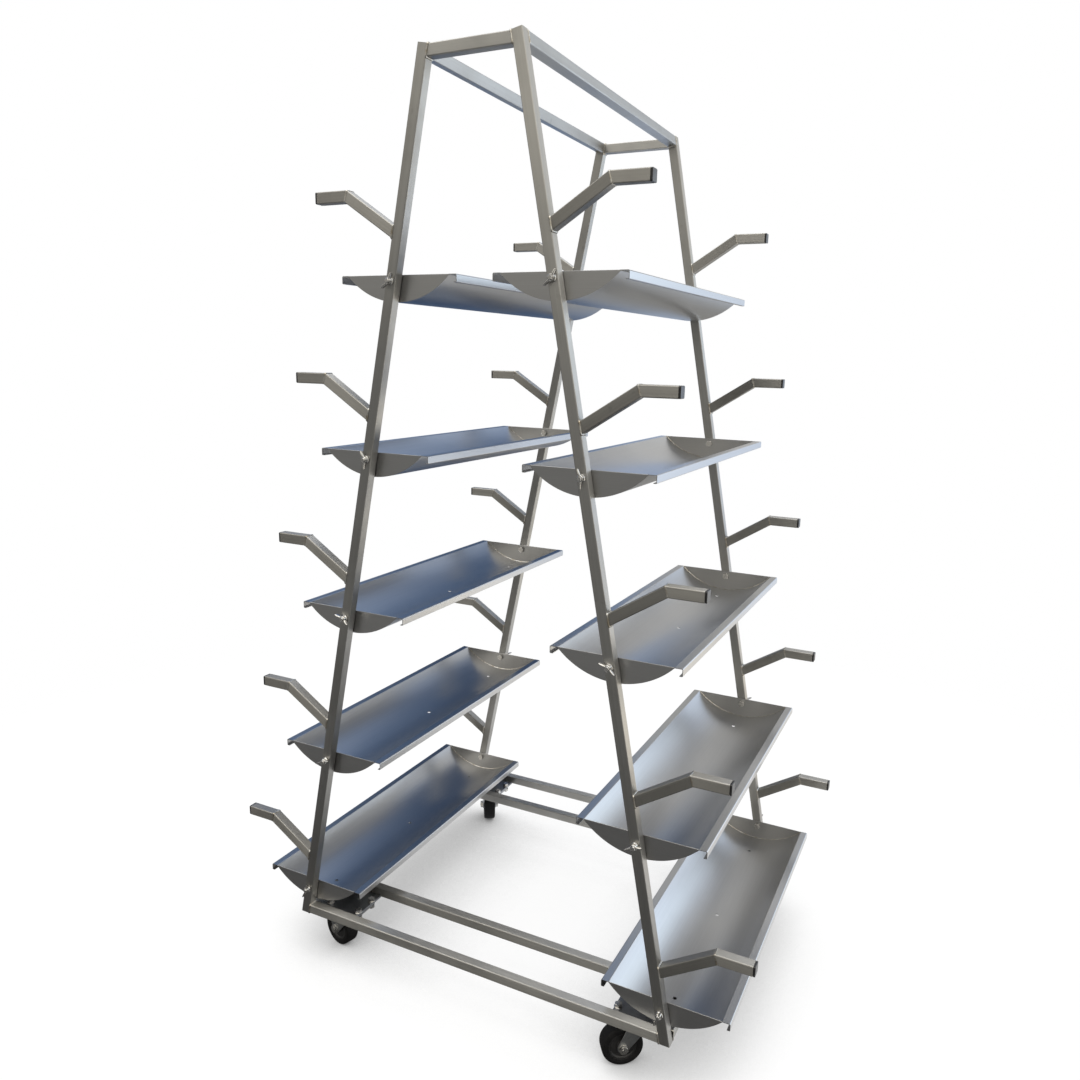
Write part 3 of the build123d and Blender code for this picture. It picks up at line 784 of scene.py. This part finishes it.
bolts = Shell()
head_at = HALF - TRAY_END + SHEET + GAP
core_radius, collar = SHANK - 0.3 * MM, 7.2 * MM
for _, side, end, level in STATIONS:
    seat = pivot(side, level) + Y * end * HALF
    base = Matrix.Translation(seat) @ Matrix((X, Z * -end, Y * end)).transposed().to_4x4()
    inward = base @ Matrix.Rotation(pi, 4, "X")
    head = inward @ Matrix.Translation((0, 0, head_at)) @ Matrix.Rotation(0.3 * level, 4, "Z")
    hexagon(bolts, head, HEAD, HEAD_UP)
    bolts.turned(inward @ Matrix.Translation((0, 0, head_at - GAP)), [(collar, 0), (collar, GAP)], steps=32)
    bolts.turned(base, [(core_radius, -head_at), (core_radius, 0)], steps=20)
    thread(bolts, base, SHANK, 0, TAIL)
bolts.stand_for("pivot_bolts", "threaded", [PLATED])


def make_wing_nut():
    """A cast wing nut about its own axis: tapered hub and two rounded wings."""
    shell = Shell()
    hub = mm((4.1, 0.3), (6.4, 0), (7.0, 0.5), (7.0, 1.8), (6.3, 3.2), (5.9, 8.2), (5.3, 9), (4.3, 9),
             (3.9, 8.4), (3.9, 0.3))
    shell.turned(Matrix(), hub, steps=40)
    rings, around, squareness = 14, 16, 0.62
    for way in (1, -1):
        rows, facing, grain = [], [], []
        for i in range(rings + 1):
            u = i / rings
            x = 3.5 * MM + 13.4 * MM * u
            middle = 5.2 * MM + 5.9 * MM * u ** 1.25
            swell = 3.3 * MM + 1.7 * MM * sin(pi * min(1, u * 1.1) / 1.1)
            tall = swell * sqrt(max(0.0, 1 - max(0.0, (u - 0.72) / 0.28) ** 2.2))
            thick = (2.0 * MM - 0.75 * MM * u) * sqrt(max(0.02, 1 - max(0.0, (u - 0.80) / 0.20) ** 2))
            row, turned = [], []
            for k in range(around + 1):
                t = 2 * pi * k / around
                c, s = cos(t), sin(t)
                px = abs(c) ** squareness * (1 if c >= 0 else -1)
                pz = abs(s) ** squareness * (1 if s >= 0 else -1)
                row.append(Vector((way * x, way * thick * px, middle + max(tall, 0.05 * MM) * pz)))
                turned.append(Vector((way * 0.25 * u, way * c, s)).normalized())
            rows.append(row)
            facing.append(turned)
            grain.append([(x, MM * k) for k in range(around + 1)])
        shell.grid(rows, facing, grain)
        shell.fan(rows[-1][:-1], X * way, Y)
    return shell.make("wing_nut_shape", "frame", [PLATED])


nut_mesh = pattern_mesh(make_wing_nut())
for station, side, end, level in STATIONS:
    name = f"wing_nut_{station}"
    turn = radians(50 * level)
    along = Vector((cos(turn), 0, sin(turn)))
    outward = Y * end
    axes = Matrix((along, outward.cross(along), outward)).transposed().to_4x4()
    seat = pivot(side, level) + outward * (HALF + GAP)
    place(f"{name}_cast", nut_mesh, Matrix.Translation(seat) @ axes, name, [name])


# Casters

FLIP = Matrix.Rotation(pi, 4, "X")
plates, fixings, tops = Shell(), Shell(), Shell()
plate_x = SIDE_INNER - PLATE_LONG / 2
plate_low = BASE - TOP_PLATE[2]
race = mm((12, 0), (21, 0), (22.6, -0.8), (23, -2.2), (22.2, -3.1), (21.2, -3.3), (21.2, -3.7), (22.4, -4.0),
          (22.6, -5.2), (21.5, -6.5), (8, -6.5))
washer_up = 1.5 * MM
washer = mm((8.2, 0), (8.2, 1.2), (7.9, 1.5), (4, 1.5))
for _, side, end in CORNERS:
    at = Matrix.Translation((side * plate_x, end * CASTER_Y, BASE + PLATE_THICK / 2))
    rounded_box(plates, at, (PLATE_LONG, RAIL_GAP, PLATE_THICK), 0.8 * MM, plan=1.2 * MM)
    kingpin = Vector((side * CASTER_X, end * CASTER_Y, 0))
    at = Matrix.Translation(kingpin + Z * (plate_low + TOP_PLATE[2] / 2))
    rounded_box(tops, at, TOP_PLATE, 0.9 * MM, plan=8 * MM)
    tops.turned(Matrix.Translation(kingpin + Z * plate_low), race[::-1], steps=56)
    hexagon(tops, Matrix.Translation(kingpin + Z * (CROWN_LOW - GAP)) @ FLIP, *KINGPIN_NUT)
    for dx in (-1, 1):
        for dy in (-1, 1):
            hole = kingpin + Vector((dx * HOLE_X, dy * HOLE_Y, 0))
            turn = Matrix.Rotation(0.4 + dx * 0.7 + dy * 0.3 + side, 4, "Z")
            over = Matrix.Translation(hole + Z * (BASE + PLATE_THICK))
            fixings.turned(over, washer, steps=40)
            hexagon(fixings, over @ Matrix.Translation((0, 0, washer_up)) @ turn, HEAD, HEAD_UP)
            under = Matrix.Translation(hole + Z * plate_low) @ FLIP
            hexagon(fixings, under @ turn, *PLATE_NUT)
            thread(fixings, under, SHANK, 0, 9 * MM)
plates.stand_for("caster_mount_plates", "cut", [PLATE_STEEL])
tops.stand_for("caster_top_plates", "pressed", [ZINC])
fixings.make("caster_bolts", "frame", [PLATED], slot="plated_steel")


def caster_matrix(corner, side, end):
    """The axes of a caster: x along its trail, y up, z across it, from the floor under the kingpin."""
    heading = radians(HEADINGS[corner])
    along = Vector((cos(heading), sin(heading), 0))
    across = Vector((sin(heading), -cos(heading), 0))
    spot = Vector((side * CASTER_X, end * CASTER_Y, 0))
    return Matrix.Translation(spot) @ Matrix((along, Z, across)).transposed().to_4x4()


def rounded_pair(x, y):
    """A point rounded so that equal ones compare as equal."""
    return round(x, 7), round(y, 7)


def hull(points):
    """Convex outline of points in a plane, anticlockwise."""
    points = sorted(set(points))

    def turns_left(a, b, c):
        return (b[0] - a[0]) * (c[1] - a[1]) > (b[1] - a[1]) * (c[0] - a[0])

    def half(run):
        out = []
        for p in run:
            while len(out) > 1 and not turns_left(out[-2], out[-1], p):
                out.pop()
            out.append(p)
        return out[:-1]

    return half(points) + half(points[::-1])


def circle(x, y, radius, steps=40):
    turns = [2 * pi * k / steps for k in range(steps)]
    return [rounded_pair(x + radius * cos(t), y + radius * sin(t)) for t in turns]


def slab(shell, where, outline, low, high, edge):
    """A plate cut to an outline in the x-y plane of `where`, its edges rounded."""
    ring = []
    for k, point in enumerate(outline):
        way = (Vector(outline[(k + 1) % len(outline)]) - Vector(outline[k - 1])).normalized()
        ring.append((*point, way.y, -way.x))
    edged(shell, where, ring + ring[:1], low, high, edge, 3)


def make_fork(at, node, braked):
    """Pressed fork with its axle; a braked one has ears for the pedal."""
    inner, outer = FORK_IN / 2, FORK_IN / 2 + FORK_SHEET
    crown_top = CROWN_LOW + FORK_SHEET
    hip = [rounded_pair(x, crown_top - FORK_BEND) for x in (-CROWN_HALF, CROWN_HALF)]
    ear = circle(BRAKE_X, BRAKE_UP, BRAKE_LUG) if braked else []
    outline = hull(hip + circle(TRAIL, WHEEL, FORK_EYE) + ear)
    fork = Shell()
    for low, high in ((-outer, -inner), (inner, outer)):
        slab(fork, at, outline, low, high, 0.7 * MM)
    crown = at @ Matrix.Translation((0, CROWN_LOW + FORK_SHEET / 2, 0)) @ Matrix.Rotation(pi / 2, 4, "X")
    rounded_box(fork, crown, (2 * CROWN_HALF, 2 * outer, FORK_SHEET), 1.4 * MM, plan=3 * MM)
    fold_end = CROWN_HALF - 0.1 * MM
    for way in (1, -1):
        outward = Matrix() if way > 0 else FLIP
        rows, facing = [], []
        for i in range(7):
            t = pi / 2 * i / 6
            turn = Vector((0, cos(t), way * sin(t)))
            spine = Vector((0, crown_top - FORK_BEND, way * (outer - FORK_BEND))) + turn * FORK_BEND
            rows.append([at @ (spine + X * x) for x in (-fold_end, fold_end)])
            facing.append([at.to_3x3() @ turn] * 2)
        fork.grid(rows, facing, [[(x, MM * i) for x in (0, 2 * CROWN_HALF)] for i in range(7)])
        nut = at @ Matrix.Translation((TRAIL, WHEEL, way * outer)) @ outward
        fork.turned(nut, mm((9, 0), (9, 0.8), (4, 0.8)), 1, steps=40)
        seat = nut @ Matrix.Translation((0, 0, 0.6 * MM)) @ Matrix.Rotation(0.35, 4, "Z")
        hexagon(fork, seat, *AXLE_NUT, 1)
        thread(fork, nut, radius=4.6 * MM, low=5 * MM, high=6.9 * MM, slot=1)
        if braked:
            stud = at @ Matrix.Translation((BRAKE_X, BRAKE_UP, way * outer)) @ outward
            fork.turned(stud, mm((3.6, -0.3), (3.6, 0.3), (2.6, 1.1), (0.01, 1.4)), 1, steps=28)
    fork.turned(at @ Matrix.Translation((TRAIL, WHEEL, 0)), [(AXLE, -outer), (AXLE, outer)], 1, steps=28)
    fork.stand_for(node, "pressed", [ZINC, PLATED], node)


def make_wheel(at, node):
    """Solid tyre on a dished hub."""
    wheel = Shell()
    half = TREAD / 2
    tyre = mm((27, 2.2), (28.5, 1.0), (33, 0), (36.5, 0.2), (38.3, 1), (39.4, 2.4), (39.9, 5), (40, 9))
    core = mm((5.1, 0.2), (10, 0.2), (11, 1.5), (12, 4.5), (23, 4.5), (25, 2.6), (27, 2.2))
    tyre, core = ([(r, h - half) for r, h in rows] for rows in (tyre, core))
    hub_at = at @ Matrix.Translation((TRAIL, WHEEL, 0))
    wheel.turned(hub_at, tyre + [(r, -h) for r, h in tyre[::-1]], 0, steps=96)
    wheel.turned(hub_at, core, 1, steps=72)
    wheel.turned(hub_at, [(r, -h) for r, h in core[::-1]], 1, steps=72)
    wheel.turned(hub_at, [(HUB_BORE, half), (HUB_BORE, -half)], 1, steps=28)
    wheel.stand_for(node, "tyre", [RUBBER, PAINT], node)


def make_pedal(at, node):
    """Brake pedal: a lug with its shoe, and a ribbed tread to step on."""
    pedal = Shell()
    wide = FORK_IN / 2 - 2 * MM
    bearing, pitch = radians(43), radians(12)
    shoe_thick, shoe_long, shoe_gap = 5 * MM, 12 * MM, 4 * MM
    tread_long, tread_thick = 36 * MM, 3 * MM
    shoe = WHEEL + shoe_gap + shoe_thick / 2
    block = []
    for a in (-1, 1):
        for b in (-1, 1):
            r, s = shoe + a * shoe_thick / 2, b * shoe_long / 2
            block.append(rounded_pair(TRAIL + r * cos(bearing) - s * sin(bearing),
                                      WHEEL + r * sin(bearing) + s * cos(bearing)))
    slab(pedal, at, hull(circle(BRAKE_X, BRAKE_UP, BRAKE_LUG) + block), -wide, wide, 0.9 * MM)
    tread = at @ Matrix.Translation((BRAKE_X, BRAKE_UP, 0)) @ Matrix.Rotation(pitch, 4, "Z")
    tread = tread @ Matrix.Translation((tread_long / 2, 4 * MM, 0)) @ Matrix.Rotation(pi / 2, 4, "X")
    rounded_box(pedal, tread, (tread_long, 2 * wide, tread_thick), 1.2 * MM, plan=5 * MM)
    for k in range(5):
        rib = tread @ Matrix.Translation((-2 * MM + k * 4 * MM, 0, -tread_thick / 2))
        rounded_box(pedal, rib, (1.6 * MM, 2 * wide - 6 * MM, 0.8 * MM), 0.35 * MM, plan=0.7 * MM)
    pedal.stand_for(node, "moulded", [PAINT], node)


for corner, side, end in CORNERS:
    at = caster_matrix(corner, side, end)
    make_fork(at, f"caster_fork_{corner}", corner in BRAKED)
    make_wheel(at, f"caster_wheel_{corner}")
    if corner in BRAKED:
        make_pedal(at, f"brake_pedal_{corner}")


# Floor, light and camera


def floor_material():
    """Pale matt floor that fades out into the white surround.

    To the camera it glows white, with a soft shadow painted in from ambient occlusion. To the metal only,
    it glows white behind the rack and beside its right foot: a painted reflection.
    """
    m = new_material("studio_floor")
    colour = m.sweep(m.cloud(2.0, 3, 0.5), (0.080, 0.080, 0.080), (0.3, 0.7, (0.088, 0.088, 0.088)))
    path = m.add("ShaderNodeLightPath").outputs
    bare = m.add("ShaderNodeAmbientOcclusion", samples=16, Distance=0.5).outputs["AO"]
    # Ambient occlusion dims the camera's white glow: a painted shadow under and round the rack.
    glow_with_painted_shadow = m.spread(bare, 0.08, 0.72, 0.06, 0.92)
    spot = m.split("Object")
    # Glow seen only in reflections, behind the rack and beside its right foot: a painted reflection in the
    # metal.
    reflection_glow_behind = m.times(m.spread(spot["Y"], -0.35, 0.15, 0.02, 1.0), glow_with_painted_shadow)
    reflection_glow_beside = m.times(m.spread(spot["X"], 0.44, 0.54), m.spread(spot["Y"], -0.50, -0.30))
    reflection_glow_beside = m.times(reflection_glow_beside, m.spread(bare, 0.08, 0.72, 0.40, 0.96))
    mirrored = m.times(m.larger(path["Is Glossy Ray"], path["Is Transmission Ray"]), m.larger(reflection_glow_behind, reflection_glow_beside))
    shown = m.maths(m.times(path["Is Camera Ray"], glow_with_painted_shadow), mirrored)
    m.set(Base_Color=colour, Roughness=0.9, Specular_IOR_Level=0.0, Emission_Color=(1, 1, 1, 1),
          Emission_Strength=shown)
    away = m.add("ShaderNodeVectorMath", operation="LENGTH")
    m.link(m.add("ShaderNodeTexCoord").outputs["Object"], away.inputs[0])
    both = m.add("ShaderNodeMixShader")
    m.link(m.spread(away.outputs["Value"], 1.15, 2.35, kind="SMOOTHSTEP"), both.inputs[0])
    m.link(m.shader.outputs[0], both.inputs[1])
    m.link(m.add("ShaderNodeBsdfTransparent").outputs[0], both.inputs[2])
    m.link(both.outputs[0], m.tree.nodes["Material Output"].inputs["Surface"])
    return m.owner


bpy.ops.mesh.primitive_circle_add(vertices=96, radius=4, fill_type="NGON", location=(0, 0, -0.0005))
ground = bpy.context.object
ground.name = "studio_floor"
ground.data.materials.append(floor_material())


def soft_world():
    """Soft studio surround: white to the camera, in the metal cool to the left and bright to the right."""
    world = bpy.data.worlds.new("studio")
    bpy.context.scene.world = world
    m = Nodes(world, "Background")
    way = m.split("Generated")

    def smooth(axis, first, *stops):
        return m.sweep(way[axis], first, *stops, kind="SMOOTHSTEP")

    low = smooth("X", (0.18, 0.18, 0.185), (-0.45, 0.0, (0.30, 0.30, 0.30)), (0.0, 0.45, (1.6, 1.5, 1.32)))
    level = smooth("X", (0.02, 0.05, 0.15), (-0.4, 0.15, (0.46, 0.48, 0.52)), (0.2, 0.6, (1.25, 1.27, 1.27)))
    high = smooth("X", (0.18, 0.27, 0.48), (-0.5, 0.3, (0.42, 0.53, 0.76)))
    back = smooth("Z", low, (-0.05, 0.16, level), (0.50, 0.90, high))
    front = smooth("Z", (0.18, 0.178, 0.17), (0.02, 0.34, (0.86, 0.82, 0.73)))
    aside = smooth("Z", front, (0.26, 0.38, (0.28, 0.27, 0.25)))
    front = smooth("X", aside, (-0.55, -0.32, front))
    front = smooth("Z", front, (0.46, 0.72, (2.1, 2.0, 1.8)))
    around = smooth("Z", smooth("Y", front, (-0.25, 0.30, back)), (0.78, 0.96, (2.2, 2.2, 2.2)))
    path = m.add("ShaderNodeLightPath").outputs
    mirrored = m.larger(path["Is Glossy Ray"], path["Is Transmission Ray"])
    seen = m.larger(path["Is Camera Ray"], m.times(mirrored, 0.05))
    m.set(Color=m.blend(seen, around, (1.0, 1.0, 1.0)), Strength=1.0)


soft_world()


def painted_reflection_sheet(name, depth, edge, shade):
    """An upright sheet that glows only in the metal's reflections, a painted reflection; shade gives its
    colour from x and z.
    """
    m = new_material(name)
    spot = m.split("Object")
    glow = m.add("ShaderNodeEmission", Strength=1.0)
    m.link(shade(m, spot["X"], spot["Z"]), glow.inputs["Color"])
    m.link(glow.outputs[0], m.tree.nodes["Material Output"].inputs["Surface"])
    mesh = bpy.data.meshes.new(name)
    mesh.from_pydata([(x, depth, z) for x, z in edge], [], [tuple(range(len(edge)))])
    mesh.materials.append(m.owner)
    piece = new_object(name, mesh)
    # Hidden from the camera, from diffuse light and from shadows: the sheet only paints reflections.
    piece.visible_camera = piece.visible_diffuse = piece.visible_shadow = False


def painted_reflection_wall(m, x, z):
    """Painted reflection: dim and a little warm at the left, bright and cool at the right."""
    left = m.sweep(z, (0.42, 0.41, 0.385), (0.4, 0.65, (0.28, 0.275, 0.26)), (1.0, 1.4, (0.55, 0.54, 0.515)),
                   (1.4, 1.9, (0.84, 0.83, 0.80)))
    middle = m.sweep(x, left, (0.1, 0.7, (0.86, 0.96, 1.13)))
    middle = m.sweep(z, middle, (1.8, 2.1, (1.02, 1.0, 0.96)))
    right = m.sweep(z, (2.0, 1.95, 1.85), (0.25, 0.7, (1.35, 1.55, 1.85)), (1.3, 1.8, (1.9, 2.2, 2.5)))
    return m.sweep(x, middle, (0.9, 1.8, right))


def blue_painted_reflection(m, x, z):
    """Painted reflection, dark blue and paler higher up, for the trays on the left."""
    left = m.sweep(z, (0.03, 0.065, 0.145), (0.85, 1.3, (0.075, 0.145, 0.29)),
                   (1.35, 2.0, (0.40, 0.52, 0.75)))
    right = m.sweep(z, (0.38, 0.48, 0.66), (1.15, 1.7, (0.70, 0.85, 1.15)))
    return m.sweep(x, left, (-0.45, -0.15, right))


# The blue painted reflection is cut along a slanted edge, so that the trays on the right do not mirror it
wall_edge = [(-1.9, 0.02), (3.6, 0.02), (3.6, 2.3), (-1.9, 2.3)]
blue_edge = [(-2.6, 0.05), (-0.85, 0.05), (-0.75, 0.40), (-0.38, 0.80), (-0.26, 1.00), (-0.06, 1.15),
             (0.0, 1.50), (0.0, 2.90), (-2.6, 2.90)]
painted_reflection_sheet("painted_reflection_wall", 2.6, wall_edge, painted_reflection_wall)
painted_reflection_sheet("blue_painted_reflection", 1.05, blue_edge, blue_painted_reflection)


def softbox(name, spot, aim, size, power, colour):
    """A rectangular lamp that the camera does not see."""
    lamp = bpy.data.lights.new(name, "AREA")
    lamp.shape, lamp.size, lamp.size_y = "RECTANGLE", *size
    lamp.energy, lamp.color = power, colour
    piece = new_object(name, lamp)
    piece.location = spot
    piece.rotation_euler = (Vector(aim) - Vector(spot)).to_track_quat("-Z", "Y").to_euler()
    piece.visible_camera = False


softbox("top_soft", (-1.2, 0.0, 4.0), (-1.2, 0.0, 0.0), (4.4, 2.6), 30, (1.0, 0.99, 0.97))

# The camera as fitted to the photograph: place, angles, and the focal length and centre in its pixels
PICTURE, FOCAL, OFF_X, OFF_Y, SENSOR = 1080, 879.1, 7.7, 12.8, 36
STAND = (0.7926, -1.6682, 1.2975)
heading, dip, roll = radians(26.14), radians(12.6), radians(1.27)
look = Vector((-sin(heading) * cos(dip), cos(heading) * cos(dip), -sin(dip)))
right = Vector((cos(heading), sin(heading), 0))
upward = right.cross(look)
across = right * cos(roll) + upward * sin(roll)
above = upward * cos(roll) - right * sin(roll)
lens = bpy.data.cameras.new("camera")
camera = new_object("camera", lens)
bpy.context.scene.camera = camera
camera.matrix_world = Matrix.Translation(STAND) @ Matrix((across, above, -look)).transposed().to_4x4()
lens.sensor_width = SENSOR
lens.lens = SENSOR * FOCAL / PICTURE
lens.shift_x, lens.shift_y = -OFF_X / PICTURE, OFF_Y / PICTURE
lens.clip_end = 60

bpy.context.scene.view_settings.view_transform = "Standard"
